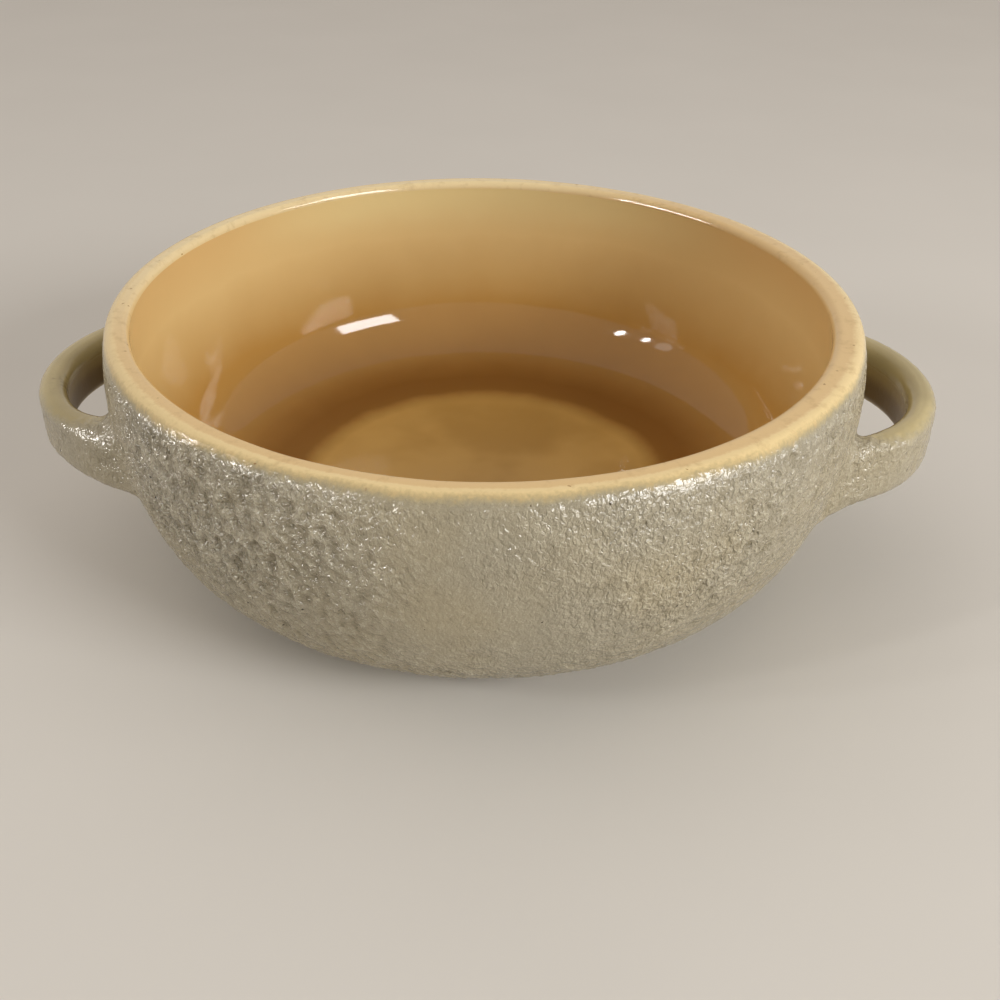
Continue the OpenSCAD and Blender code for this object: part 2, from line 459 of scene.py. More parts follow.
@dataclass(frozen=True)
class HandMade:
    """What a potter's hands leave: the bowl is a little out of round and its surfaces uneven.

    The lengths are millimetres. The coat is a slurry of coarse sand, dabbed on from the rim
    downwards: it has wrinkles and packed grains of one to two millimetres, drawn out a little
    along the wall, on slow swells. It is rougher in some patches than in others, under the
    rim, and most of all towards the left front. A swell is the size and depth of a slow wave, a
    shift keeps one noise apart from the others, and a pair ending in _z, _r or _x is where
    something begins and is full.
    """

    oval_share: float = 0.005
    rim_wave: float = 0.18
    wave_z: float = 50.0
    strap_shift: float = 0.5
    strap_r: Pair = (72, 80)
    inside_shift: Pair = (-0.75, 0.24)
    inside_z: Pair = (18, 44)
    inside_r: Pair = (64, 69)
    coat_swell: Pair = (7.0, 0.08)
    inside_swell: Pair = (15.0, 0.05)
    rim_swell: Pair = (9.0, 0.06)
    swell_shift: float = 90.1
    wrinkle: float = 0.18
    wrinkle_size: float = 2.2
    wrinkle_shift: float = 31.7
    grain: float = 0.17
    grain_size: float = 1.4
    grain_r: float = 0.85
    grain_shift: float = 7.3
    middle: float = 0.6
    drawn: float = 0.72
    even: float = 0.62
    patchy: float = 0.8
    patch_size: float = 15.0
    patch_shift: float = 55.2
    patch_range: Pair = (0.3, 1.1)
    under_rim: float = 0.15
    under_rim_z: Pair = (28, 46)
    low: float = 0.6
    low_z: Pair = (10, 22)
    heavy: tuple[Patch, ...] = (Patch(52, 2.3, (-0.7, -0.71, 0.0)), Patch(56, 1.0, (0.68, -0.73, 0.0)))
    heavy_end: float = 70.0
    heavy_z: Pair = (10, 30)
    left_calm: float = 0.6
    left_x: Pair = (54, 66)
    side_dip: float = 1.4
    side_x: Pair = (20, 68)
    wave_dip: float = 0.5
    dip_size: float = 11.0
    noise: Noise = field(default_factory=lambda: Noise(41))

    def coarse(self, points: Array) -> Array:
        """How coarse the sandy coat is.

        It is slow noise, and more under the rim, low down and at both fronts. By the left handle
        it is less.
        """
        z = points[..., 2]
        slow = self.noise.waves(points + self.patch_shift, self.patch_size)
        share = np.clip(self.even + self.patchy * slow, *self.patch_range)
        share += self.under_rim * smooth(*self.under_rim_z, z)
        share += self.low * (1 - smooth(*self.low_z, z))
        for patch in self.heavy:
            near = smooth(patch.start, self.heavy_end, points @ np.array(patch.way))
            share += patch.more * near * smooth(*self.heavy_z, z)
        return share * (1 - self.left_calm * smooth(*self.left_x, -points[..., 0]))

    def rough(self, points: Array) -> Array:
        """Height of the sandy coat, before coarse: wrinkle * (middle - 2 |n|) + grain.

        Each has its own noise n, and the heights z are shortened to draw the pattern out.
        """
        long = points * np.array([1.0, 1.0, self.drawn])
        folds = np.abs(self.noise.waves(long + self.wrinkle_shift, self.wrinkle_size))
        sand = self.noise.grains(long + self.grain_shift, self.grain_size, self.grain_r)
        return self.wrinkle * (self.middle - 2 * folds) + self.grain * (sand - self.middle)

    def dip(self, points: Array) -> Array:
        """How much lower the cream's edge is: side_dip at the left and right, and slow noise."""
        slow = self.noise.waves(points, self.dip_size)
        return self.side_dip * smooth(*self.side_x, np.abs(points[..., 0])) + self.wave_dip * slow

    def uneven(self, points: Array, size: float, depth: float) -> Array:
        """Height of a slow wave in a surface."""
        return depth * self.noise.waves(points + self.swell_shift, size)

    def warp(self, points: Array) -> Array:
        """The whole bowl out of round: x grows and y shrinks by a share, and the rim waves.

        The wave is rim_wave * (z / wave_z)^3 * (cos 2a + cos(3a + 1)) / 2 round the axis. Both
        straps sit a little to the right. The inside leans to the left towards the top, so the
        rim is thinner there and thicker at the right.
        """
        x, y, z = points[..., 0], points[..., 1], points[..., 2]
        a = np.arctan2(y, x)
        lift = self.rim_wave * (z / self.wave_z) ** 3 * (np.cos(2 * a) + np.cos(3 * a + 1)) / 2
        r = np.hypot(x, y)
        inner = smooth(*self.inside_z, z) * (1 - smooth(*self.inside_r, r))
        shift = self.strap_shift * smooth(*self.strap_r, r) + self.inside_shift[0] * inner
        back = self.inside_shift[1] * inner
        return np.stack([x * (1 + self.oval_share) + shift, y * (1 - self.oval_share) + back, z + lift], -1)


@dataclass(frozen=True)
class ThrownBowl:
    """The body and the three glazes that are turned round the same axis."""

    shape: BowlShape
    hand: HandMade
    grain_step: float = 0.54
    glaze_step: float = 1.0
    rim_step: float = 1 / 3
    hidden_step: float = 6.0
    coat_ring: int = 770
    glaze_ring: int = 320
    fade: float = 2.4
    lip_fade: float = 4.2
    inside_fade: float = 3.0
    rim_fade: float = 1.5

    def build(self, finishes: Finishes) -> None:
        """Makes and dresses the four pieces."""
        dress(self.body(), "bowl_body", Slot.CLAY, finishes)
        dress(self.inside(), "interior_glaze", Slot.HONEY, finishes)
        dress(self.rim(), "rim_glaze", Slot.CREAM, finishes)
        dress(self.coat(), "exterior_coat", Slot.COAT, finishes)

    def body(self) -> Piece:
        """Thrown clay: inside, rim, outside and foot as one closed profile."""
        t = self.shape.glaze_t
        line = np.concatenate([
            self.shape.inside(t), self.shape.rim(t), self.shape.outside(t, 90), self.shape.foot(),
        ])
        line[0, 0] = line[-1, 0]
        grid = turned(resample(line, self.glaze_step), self.glaze_ring)
        return solid("thrown_body", self.hand.warp(grid), loop=False)

    def sheet(self, line: Line, steps: Pair, ring: int) -> tuple[Array, Array, Array]:
        """Turns a line and, a glaze's thickness below it, the same line back.

        Args:
            line: gives the line at a depth.
            steps: distance of the points on the seen side and on the hidden side.
            ring: points in a ring.

        Returns:
            The grid, the part of it that is seen, and the length along the seen line.
        """
        seen = resample(line(0), steps[0])
        hidden = resample(line(self.shape.glaze_t), steps[1])
        seen[0, 0], hidden[0, 0] = np.maximum([seen[0, 0], hidden[0, 0]], self.shape.hub_r)
        grid = turned(np.concatenate([seen, hidden[::-1]]), ring)
        return grid, grid[: len(seen)], length_along(seen)

    def inside(self) -> Piece:
        """Glossy glaze of the inside, with the length along it from the middle as a mark."""
        steps = self.glaze_step, self.hidden_step
        grid, skin, along = self.sheet(self.shape.inside, steps, self.glaze_ring)
        share = smooth(0, self.inside_fade, along[-1] - along)[:, None]
        skin[:] = raised(skin, self.hand.uneven(skin, *self.hand.inside_swell) * share)
        run = np.full(grid.shape[:2], along[-1])
        run[: len(skin)] = along[:, None]
        return solid("inside_glaze", self.hand.warp(grid), loop=False, marks={"run": run})

    def rim(self) -> Piece:
        """Glaze over the rim. Its mark goes from 0.5 at the coat to 1, and to 2 at the inside."""
        steps = self.rim_step, self.glaze_step
        grid, skin, along = self.sheet(self.shape.rim, steps, self.glaze_ring)
        back = along[-1] - along
        share = (smooth(0, self.rim_fade, back) * smooth(0, self.rim_fade, along))[:, None]
        skin[:] = raised(skin, self.hand.uneven(skin, *self.hand.rim_swell) * share)
        cream = np.ones(grid.shape[:2])
        over = back[:, None] + self.hand.dip(skin)
        cream[: len(skin)] = np.clip(0.5 + over / (2 * self.fade), 0, 1)
        cream[: len(skin)] += np.clip(1 - along / self.lip_fade, 0, 1)[:, None]
        marks = {"cream": cream, "coarse": self.hand.coarse(grid)}
        return solid("cream_rim", self.hand.warp(grid), marks=marks)

    def coat(self) -> Piece:
        """Sandy coat: its seen side carries the grain, which dies away at both borders."""
        steps = self.grain_step, self.hidden_step
        grid, skin, along = self.sheet(self.shape.outside, steps, self.coat_ring)
        under = along[:, None] - self.hand.dip(skin)
        share = smooth(0, self.fade, np.minimum(along[:, None], under))
        share *= smooth(0, self.fade, along[-1] - along)[:, None]
        coarse = self.hand.coarse(grid)
        lift = self.hand.uneven(skin, *self.hand.coat_swell)
        lift = (lift + self.hand.rough(skin) * coarse[: len(skin)]) * share
        lift = np.maximum(lift, -self.shape.relief_depth)
        skin[:] = raised(skin, lift)
        cream, high = np.zeros((2, *grid.shape[:2]))
        cream[: len(skin)] = np.clip(0.5 - under / (2 * self.fade), 0, 1)
        high[: len(skin)] = lift
        marks = {"cream": cream, "high": high, "coarse": coarse}
        return solid("sandy_coat", self.hand.warp(grid), marks=marks)


@dataclass(frozen=True)
class StrapHandle:
    """One strap handle: a strip of clay bent round and luted to the wall at both ends.

    The surface is worked out for the back half of the right handle and mirrored. A section's
    place is u outwards and w upwards from the strap's middle line, which turns by an angle
    round the bend's axis and then runs straight on into the wall. The root flares by root_out,
    root_in, root_down and root_up. A pair of numbers is where something begins and is full: a
    distance from the wall (_gap), a share of the strap's outline from its outer top edge
    (dark_band, where the olive mark rises to paint shade down the inner side), or a place
    along Y (olive_y).
    """

    side: Side
    bowl: BowlShape
    hand: HandMade
    reach: float = 17.0
    drop: float = 15.8
    strap_h: float = 12.5
    strap_t: float = 5.2
    edge_r: float = 2.3
    bend_r: float = 27.5
    root_start: float = 56.0
    flare_start: float = 56.0
    flare_power: float = 3.0
    root_out: float = 4.5
    root_in: float = 4.5
    root_down: float = 5.5
    root_up: float = 2.5
    fillet: float = 3.2
    fillet_share: float = 0.7
    skirt: float = 2.6
    sunk: float = 0.12
    sliver: float = 0.05
    past_wall: float = 14.0
    columns: int = 128
    turn_rows: int = 91
    straight_rows: int = 60
    clay_rows: int = 65
    step: float = 0.42
    strap_calm: float = 0.6
    calm_gap: Pair = (0.5, 7.0)
    glazed_calm: float = 0.7
    olive_edge: float = 0.62
    olive_ramp: float = 9.0
    # Columns where the olive mark rises from 1 to 2 down the inner side: the material paints shade there.
    dark_band: Pair = (0.14, 0.40)
    olive_y: Pair = (-29, -20)
    olive_gap: Pair = (-0.5, 2.5)
    iron_at: Triple = (-79.4, -7.0, 36.0)
    iron_r: float = 6.5

    @property
    def axis_x(self) -> float:
        """Distance of the bend's axis from the bowl's axis."""
        return self.bowl.rim_r + self.reach - self.strap_t / 2 - self.bend_r

    @property
    def middle_z(self) -> float:
        """Height of the strap's middle line."""
        return self.bowl.height - self.drop - self.strap_h / 2

    def corners(self, flare: Array, depth: float) -> Array:
        """Rounded oblongs whose half sizes grow with the flare, from the outward side upwards.

        Args:
            flare: n shares of the root's flare.
            depth: depth under the surface.

        Returns:
            An (n, k, 2) array of u and w, closed.
        """
        g = np.asarray(flare, float)[:, None]
        edge = self.edge_r + g * self.root_up
        half_t, half_h = self.strap_t / 2 - edge, self.strap_h / 2 - edge
        out, into = half_t + g * self.root_out, -half_t - g * self.root_in
        up, down = half_h + g * self.root_up, -half_h - g * self.root_down
        turn = np.radians(np.linspace(0, 90, QUARTER))
        u, w = [], []
        for quarter, (mid_u, mid_w) in enumerate([(out, up), (into, up), (into, down), (out, down)]):
            u.append(mid_u + (edge - depth) * np.cos(turn + quarter * math.pi / 2))
            w.append(mid_w + (edge - depth) * np.sin(turn + quarter * math.pi / 2))
        ring = np.stack([np.concatenate(u, 1), np.concatenate(w, 1)], 2)
        return np.concatenate([ring, ring[:, :1]], 1)

    def outline(self, flare: Array, depth: float) -> Array:
        """The oblongs' points at equal lengths on the plain one, from the outer top edge on.

        Half of the columns run over the top and down the inner side, where the strap is
        glazed, and half come back under the strap and up its outer face.
        """
        along = length_along(self.corners(np.zeros(1), depth)[0])
        start = along[QUARTER // 2]
        at = (start + np.arange(self.columns) * along[-1] / self.columns) % along[-1]
        low = np.clip(np.searchsorted(along, at, "right") - 1, 0, len(along) - 2)
        part = ((at - along[low]) / np.maximum(along[low + 1] - along[low], 1e-9))[:, None]
        ring = self.corners(flare, depth)
        return ring[:, low] * (1 - part) + ring[:, low + 1] * part

    def swept(self, angle: Array, depth: float, run: Array | float = 0.0) -> Array:
        """Sections carried along the strap.

        Args:
            angle: n turns in degrees, at most 90.
            depth: depth under the surface.
            run: n lengths of the straight end, or 0.

        Returns:
            (n, columns, 3): (axis_x + (bend_r + u) cos a - run, (bend_r + u) sin a, middle + w).
        """
        span = 90 - self.flare_start
        flare = np.clip((np.abs(angle) - self.flare_start) / span, 0, 1) ** self.flare_power
        ring = self.outline(flare if depth == 0 else flare * 0, depth)
        a = np.radians(angle)[:, None]
        far = self.bend_r + ring[..., 0]
        x = self.axis_x + far * np.cos(a) - np.reshape(run, (-1, 1))
        return np.stack([x, far * np.sin(a), self.middle_z + ring[..., 1]], 2)

    def middle(self, count: int, depth: float) -> Array:
        """The strap between its roots' starts, in count sections."""
        return self.swept(np.linspace(-self.root_start, self.root_start, count), depth)

    def to_wall(self, depth: float) -> Array:
        """Dense sections from the root's start to well inside the wall."""
        turns = np.linspace(self.root_start, 90, self.turn_rows)
        angle = np.append(turns, np.full(self.straight_rows, 90.0))
        run = np.append(turns * 0, np.linspace(0.2, self.past_wall, self.straight_rows))
        return self.swept(angle, depth, run)

    def where(self, path: Array, gap: Array | float) -> Array:
        """For each column, the first place on the path whose distance from the wall is gap."""
        away = self.bowl.wall_gap(path) - gap
        hit = np.maximum(np.argmax(away < 0, axis=0), 1)
        col = np.arange(path.shape[1])
        before, after = away[hit - 1, col], away[hit, col]
        return hit - 1 + np.clip(before / np.maximum(before - after, 1e-9), 0, 1)

    @staticmethod
    def at(path: Array, place: Array) -> Array:
        """Points of the path at fractional places, one row of places for each row wanted."""
        low = np.clip(np.floor(place).astype(int), 0, len(path) - 2)
        part = (place - low)[..., None]
        col = np.arange(path.shape[1])
        return path[low, col] * (1 - part) + path[low + 1, col] * part

    def root(self) -> Array:
        """The root's seen surface: along the strap, then a fillet that ends level with the wall.

        The fillet is a cubic from A, a fillet's distance before the wall, to B, a skirt's
        length outwards on the wall: h00 A + h10 L a + h01 B + h11 L b, with the path's
        direction a, the outward direction b on the wall and L the length of A to X to B,
        where X is where the path meets the wall.
        """
        path = self.to_wall(0)
        first = self.bowl.wall_gap(path[0])
        start = self.where(path, np.minimum(self.fillet, self.fillet_share * first))
        a, x = self.at(path, start), self.at(path, self.where(path, 0.0))
        way = unit(self.at(path, start + 1) - self.at(path, start - 1))
        x = self.bowl.on_wall(x, 0)
        out = unit(np.cross(np.roll(x, -3, 0) - np.roll(x, 3, 0), self.wall_normal(x)))
        b = self.bowl.on_wall(x + self.skirt * out, self.sunk)
        size = (apart(x, a) + apart(b, x))[:, None]
        rows = int(np.ceil(apart(a, path[0]).max() / self.step))
        shares = np.linspace(0, 1, rows + 1)[:, None]
        strap = self.at(path, shares * start)
        t = np.linspace(0, 1, int(np.ceil(size.max() / self.step)) + 1)[1:, None, None]
        h00, h10 = 2 * t**3 - 3 * t**2 + 1, t**3 - 2 * t**2 + t
        h01, h11 = 3 * t**2 - 2 * t**3, t**3 - t**2
        bend = h00 * a + h10 * size * way + h01 * b + h11 * size * out
        return np.concatenate([strap, bend])

    def wall_normal(self, points: Array) -> Array:
        """Outward normals of the wall at points on it, from the slope of its distance."""
        gap = self.bowl.wall_gap
        return unit(np.stack([gap(points + s) - gap(points - s) for s in self.sliver * np.eye(3)], -1))

    def place(self, grid: Array, end: End = End.BACK) -> Array:
        """A grid of the right handle, mirrored to this side, and to the front end if wanted."""
        return grid * np.array([self.side.value, end.value, 1.0])

    def skin(self) -> tuple[Array, Marks, int]:
        """The handle's whole seen surface, with its grain.

        Returns:
            The grid from the front skirt to the back skirt, its marks, and the number of rows
            in each root.
        """
        root = self.root()
        half = int(round(math.radians(self.root_start) * self.bend_r / self.step))
        grid = self.whole(self.middle(2 * half + 1, 0), root)
        gap = self.bowl.wall_gap(grid)
        olive = self.olive(grid, gap)
        coarse = self.hand.coarse(grid) * (1 - self.strap_calm * smooth(*self.calm_gap, gap))
        lift = self.hand.rough(grid) * coarse * (1 - self.glazed_calm * np.minimum(olive, 1))
        lift = np.maximum(lift, -self.bowl.relief_depth)
        iron = np.zeros(gap.shape)
        if self.side is Side.LEFT:
            iron = 1 - smooth(0, self.iron_r, apart(grid, np.array(self.iron_at)))
        marks = {"olive": olive, "iron": iron, "high": lift, "coarse": coarse}
        return raised(grid, lift * self.side.value), marks, len(root)

    def whole(self, strap: Array, end: Array) -> Array:
        """The strap with an end, whose first row is the strap's last, at the back and in front."""
        front = self.place(end[:0:-1], End.FRONT)
        return np.concatenate([front, self.place(np.concatenate([strap, end[1:]]))])

    def olive(self, grid: Array, gap: Array) -> Array:
        """Share of olive glaze: 1 on the top, 0 outside, and up to 2 down the inner side, where the rise
        over 1 is painted shade.

        It gives way to the sandy coat towards the front root, where the strap turns to the wall.
        """
        column = np.arange(self.columns) / self.columns
        edge = np.minimum(column, 0.5 - column)
        edge = np.where(column > 0.5, -np.minimum(column - 0.5, 1 - column), edge)
        share = np.clip(self.olive_edge + edge * self.olive_ramp, 0, 1)
        # Down the inner side the share rises from 1 to 2: that rise is painted shade, read by the material
        # as darker olive.
        share *= 1 + smooth(*self.dark_band, column) * (column < 0.5)
        return share[None, :] * smooth(*self.olive_y, grid[..., 1]) * smooth(*self.olive_gap, gap)

    def build(self, finishes: Finishes) -> None:
        """Makes and dresses the handle's five pieces."""
        side, flip, warp = self.side.name.lower(), self.side is Side.LEFT, self.hand.warp
        grid, marks, rows = self.skin()
        clay = solid(f"{side}_strap_clay", warp(self.clay()), flip=flip, loop=False)
        dress(clay, f"{side}_handle", Slot.CLAY, finishes)
        half, ring = self.columns // 2, np.arange(self.columns + 1) % self.columns
        part = slice(rows - 1, len(grid) - rows + 1)
        under = self.place(self.middle(len(grid[part]), self.bowl.glaze_t))
        for kind, node, slot, cols in (
            ("olive", "glaze", Slot.OLIVE, ring[: half + 1]),
            ("sandy", "coat", Slot.COAT, ring[half:]),
        ):
            seen = {k: v[part][:, cols] for k, v in marks.items()}
            over, below = warp(grid[part][:, cols]), warp(under[:, cols])
            piece = slab(f"{side}_strap_{kind}_skin", over, below, flip=flip, marks=seen)
            dress(piece, f"{side}_handle_{node}", slot, finishes)
        for end in End:
            pick = slice(-rows, None) if end is End.BACK else slice(rows - 1, None, -1)
            under = self.place(self.lining(), end)
            points = warp(np.concatenate([grid[pick], under]))
            seen = {k: np.append(v[pick], v[pick][[-1] * len(under)], 0) for k, v in marks.items()}
            name = f"{side}_{end.name.lower()}"
            turned_over = flip != (end is End.FRONT)
            piece = solid(f"{name}_pressed_root", points, flip=turned_over, marks=seen)
            dress(piece, f"{name}_root", Slot.COAT, finishes)

    def core(self, rows: int) -> Array:
        """The clay under a root, from its start to just inside the wall."""
        path = self.to_wall(self.bowl.glaze_t)
        stop = self.where(path, -self.bowl.glaze_t)
        return self.at(path, np.linspace(0, 1, rows)[:, None] * stop)

    def lining(self) -> Array:
        """The root's hidden side: under its skirt, and back along the strap's clay."""
        below = self.bowl.on_wall(self.root()[-1], self.bowl.glaze_t - self.sliver)
        return np.concatenate([below[None], self.core(9)[::-1]])

    def clay(self) -> Array:
        """The strap's clay from wall to wall."""
        return self.whole(self.middle(self.clay_rows, self.bowl.glaze_t), self.core(17))


# Finishes


FIELD = ("Vector", "Scale", "Detail", "Roughness", "Distortion")


class Kind(Enum):
    """Kinds of shader node: the type, its settings, the inputs that its values go to, its output."""

    PLACE = ("TexCoord", {}, (), "Object")
    WAY = ("TexCoord", {}, (), "Generated")
    MARK = ("Attribute", {}, (), "Fac")
    NOISE = ("TexNoise", {}, FIELD, 0)
    RIDGES = ("TexNoise", {"noise_type": "RIDGED_MULTIFRACTAL"}, FIELD, 0)
    LINES = ("TexNoise", {"noise_dimensions": "1D"}, ("W", "Scale", "Detail"), 0)
    CRUMBS = ("TexVoronoi", {}, ("Vector", "Scale"), "Color")
    FIRST = ("SeparateColor", {}, (0,), 0)
    DOT = ("VectorMath", {"operation": "DOT_PRODUCT"}, (0, 1), "Value")
    SCALED = ("VectorMath", {"operation": "MULTIPLY"}, (0, 1), 0)
    LENGTH = ("VectorMath", {"operation": "LENGTH"}, (0,), "Value")
    STEP = ("MapRange", {"interpolation_type": "SMOOTHSTEP"}, (0, 1, 2, 3, 4), 0)
    PLUS = ("Math", {"operation": "ADD"}, (0, 1), 0)
    TIMES = ("Math", {"operation": "MULTIPLY"}, (0, 1), 0)
    TIMES_PLUS = ("Math", {"operation": "MULTIPLY_ADD"}, (0, 1, 2), 0)
    MOST = ("Math", {"operation": "MAXIMUM"}, (0, 1), 0)
    BLEND = ("Mix", {"data_type": "FLOAT"}, (0, 2, 3), 0)
    MIX = ("Mix", {"data_type": "RGBA"}, (0, 6, 7), 2)
    RAMP = ("ValToRGB", {}, (0,), 0)
    BUMP = ("Bump", {}, ("Height", "Distance"), 0)
    SHADER = ("BsdfPrincipled", {}, ("Base Color", "Roughness", "IOR", "Normal"), 0)
    SURFACE = ("OutputMaterial", {}, ("Surface",), None)
    RAYS = ("LightPath", {}, (), "Is Camera Ray")
    GLOW = ("Background", {}, ("Color", "Strength"), 0)
    EITHER = ("MixShader", {}, (0, 1, 2), 0)
    SKY = ("OutputWorld", {}, ("Surface",), None)


Socket = bpy.types.NodeSocket
Value = Socket | float | str | tuple
Add = Callable[..., Socket]


def linear(code: str) -> tuple[float, float, float, float]:
    """An sRGB hex colour as linear red, green, blue and alpha."""
    parts = [int(code[k : k + 2], 16) / 255 for k in (1, 3, 5)]
    r, g, b = (c / 12.92 if c <= 0.04045 else ((c + 0.055) / 1.055) ** 2.4 for c in parts)
    return r, g, b, 1.0


def per(size: float) -> float:
    """Scale of a texture whose pattern repeats every size millimetres."""
    return 1 / (size * MM)


class Recipe:
    """A material's or the world's nodes, while they are written."""

    def __init__(self, owner: bpy.types.Material | bpy.types.World) -> None:
        """Starts with no nodes."""
        owner.use_nodes = True
        self.owner = owner
        self.tree = owner.node_tree
        self.tree.nodes.clear()

    def add(
        self,
        kind: Kind,
        *values: Value,
        out: str | None = None,
        stops: dict[float, str] | None = None,
        **settings: object,
    ) -> Socket | None:
        """Adds one node with its settings and links.

        Args:
            kind: the kind of node.
            *values: what its inputs get, in the kind's order: a socket to link, a number, a
                vector, or a colour's hex code.
            out: the output that is wanted, if not the kind's own.
            stops: hex codes by position, for a ramp.
            **settings: more of the node's settings.

        Returns:
            The output.
        """
        name, preset, places, usual = kind.value
        node = self.tree.nodes.new("ShaderNode" + name)
        for key, setting in (preset | settings).items():
            setattr(node, key, setting)
        for place, value in zip(places, values):
            if isinstance(value, Socket):
                self.tree.links.new(value, node.inputs[place])
            else:
                node.inputs[place].default_value = linear(value) if isinstance(value, str) else value
        for number, (position, code) in enumerate(sorted((stops or {}).items())):
            line = node.color_ramp.elements
            stop = line[number] if number < 2 else line.new(position)
            stop.position, stop.color = position, linear(code)
        return None if usual is None else node.outputs[out or usual]


class Finish:
    """A finish, whose nodes make one material with an index of refraction."""

    name: str
    ior: float = 1.5

    def shade(self, add: Add) -> tuple[Value, Value, Value]:
        """Adds the nodes for the colour, the roughness and the normal."""
        raise NotImplementedError

    def material(self) -> bpy.types.Material:
        """Writes the material."""
        r = Recipe(bpy.data.materials.new(self.name))
        colour, rough, normal = self.shade(r.add)
        r.add(Kind.SURFACE, r.add(Kind.SHADER, colour, rough, self.ior, normal))
        return r.owner


@dataclass(frozen=True)
class OuterGlazes(Finish):
    """The three glazes outside, which lap over one another.

    A slurry of feldspar and coarse sand is dabbed on, glazed thinly and fired: pale grey-beige,
    wrinkled, wet-looking in patches and satin between them, so that its small crests glint. Its
    crests are paler and its hollows darker, partly as the glaze runs thinner on crests and gathers
    in hollows, partly as painted highlight and painted shade. The rim is dipped in a cream glaze
    whose edge thins out, yellow and then olive over the sand; towards the back and left the rim's
    top is paler, which is painted light. The handles' tops and inner sides have an olive glaze.
    The marks "cream" and "olive" say how much of each lies at a point, and noise makes their
    edges ragged; where "olive" goes over 1 down a strap's inner side, the darker olive is painted
    shade. "high" is the height of the mesh's own relief in millimetres, "coarse" how strong the
    fine relief is, and "iron" a patch of iron stains.
    """

    name: str
    sand: str = "#AEA285"
    grey: str = "#A69D86"
    # Paler on crests and darker in hollows: partly the glaze's own thickness, partly painted highlight and
    # painted shade.
    crest_glaze_and_sheen: str = "#C4BAA0"
    hollow_glaze_and_shade: str = "#958B71"
    lip: str = "#E2C188"
    # Painted light: a paler rim colour towards the back and left.
    pale: str = "#F1DAA6"
    freckle: str = "#B8955F"
    cream: str = "#EED49B"
    yellow: str = "#D2B980"
    green: str = "#A89B70"
    olive: str = "#C6B583"
    dark_olive: str = "#B0A072"
    # Painted shade: darker olive colours for the strap's inner side, where the olive mark runs from 1 to 2.
    painted_shade: str = "#9B834F"
    shaded: str = "#745A2E"
    stain: str = "#62573A"
    pinhole: str = "#4A3E2A"
    relief: float = 1.3
    wet: float = 0.08
    satin: float = 0.18
    glossy: float = 0.11
    dull: float = 0.4
    ior: float = 1.55

    def shade(self, add: Add) -> tuple[Value, Value, Value]:
        """Writes the nodes. Each pattern's size is in millimetres."""
        k = Kind
        place = add(k.PLACE)
        long = add(k.SCALED, place, (1.0, 1.0, 0.8))
        cream_mark, olive_and_shade_mark, iron, high, coarse = (
            add(k.MARK, attribute_name=mark) for mark in ("cream", "olive", "iron", "high", "coarse")
        )
        blotch = add(k.NOISE, place, per(26), 3.0)
        mottle = add(k.NOISE, place, per(2.2), 3.0, 0.6)
        grain = add(k.NOISE, long, per(0.6), 1.2, 0.5, 0.5)
        crust = add(k.RIDGES, place, per(2.2), 2.0, 0.5, 0.8)
        fine = add(k.NOISE, place, per(0.22), 2.0)
        crumb = add(k.FIRST, add(k.CRUMBS, place, per(0.4)))

        ragged = add(k.TIMES_PLUS, grain, 0.2, add(k.TIMES_PLUS, mottle, 0.3, -0.25))
        cream = add(k.PLUS, cream_mark, ragged)
        on_rim = add(k.STEP, cream, 0.18, 0.74)
        ragged = add(k.TIMES_PLUS, mottle, 0.7, add(k.TIMES_PLUS, grain, 0.3, -0.5))
        on_strap = add(k.STEP, add(k.PLUS, olive_and_shade_mark, ragged), 0.1, 0.9)

        level = add(k.TIMES_PLUS, high, 1.0, add(k.TIMES_PLUS, grain, 0.5, -0.25))
        coat = add(k.MIX, add(k.STEP, blotch, 0.35, 0.65), self.sand, self.grey)
        level = add(k.TIMES_PLUS, fine, 0.9, add(k.PLUS, level, -0.45))
        # Crests paler, hollows darker: partly glaze running thinner on crests and gathering in hollows,
        # partly a painted highlight on the crests and painted shade in the hollows.
        for mark, low, high_end, code in (
            (level, 0.0, 0.42, self.crest_glaze_and_sheen),
            (level, -0.02, -0.42, self.hollow_glaze_and_shade),
            (crumb, 0.9994, 0.9997, self.pinhole),
        ):
            coat = add(k.MIX, add(k.STEP, mark, low, high_end), coat, code)
        strap = add(k.MIX, add(k.STEP, blotch, 0.35, 0.65), self.olive, self.dark_olive)
        # Painted shade: the olive mark's rise from 1 to 2 down the inner side darkens the olive glaze.
        for low, code in ((1.0, self.painted_shade), (1.5, self.shaded)):
            strap = add(k.MIX, add(k.STEP, olive_and_shade_mark, low, low + 0.5), strap, code)
        stain = add(k.TIMES_PLUS, iron, 0.5, add(k.NOISE, place, per(1.8), 1.0, 0.5))
        strap = add(k.MIX, add(k.STEP, stain, 0.7, 1.08, 0.0, 0.62), strap, self.stain)
        half = add(k.TIMES, cream, 0.5)
        stops = {0.12: self.green, 0.27: self.yellow, 0.38: self.cream, 0.49: self.cream, 0.58: self.lip}
        rim = add(k.RAMP, half, stops=stops)
        # Painted light: the rim's top by its inner edge is made paler towards the back and left, as if lit
        # more from there.
        back = add(k.STEP, add(k.DOT, place, (-0.6, 0.8, 0.0)), 10 * MM, 55 * MM)
        rim = add(k.MIX, add(k.TIMES, back, add(k.STEP, half, 0.49, 0.58)), rim, self.pale)
        rim = add(k.MIX, add(k.STEP, mottle, 0.50, 0.78, 0.0, 0.35), rim, self.freckle)
        rim = add(k.MIX, add(k.STEP, crumb, 0.9985, 0.9992), rim, self.freckle)
        colour = add(k.MIX, on_rim, add(k.MIX, on_strap, coat, strap), rim)

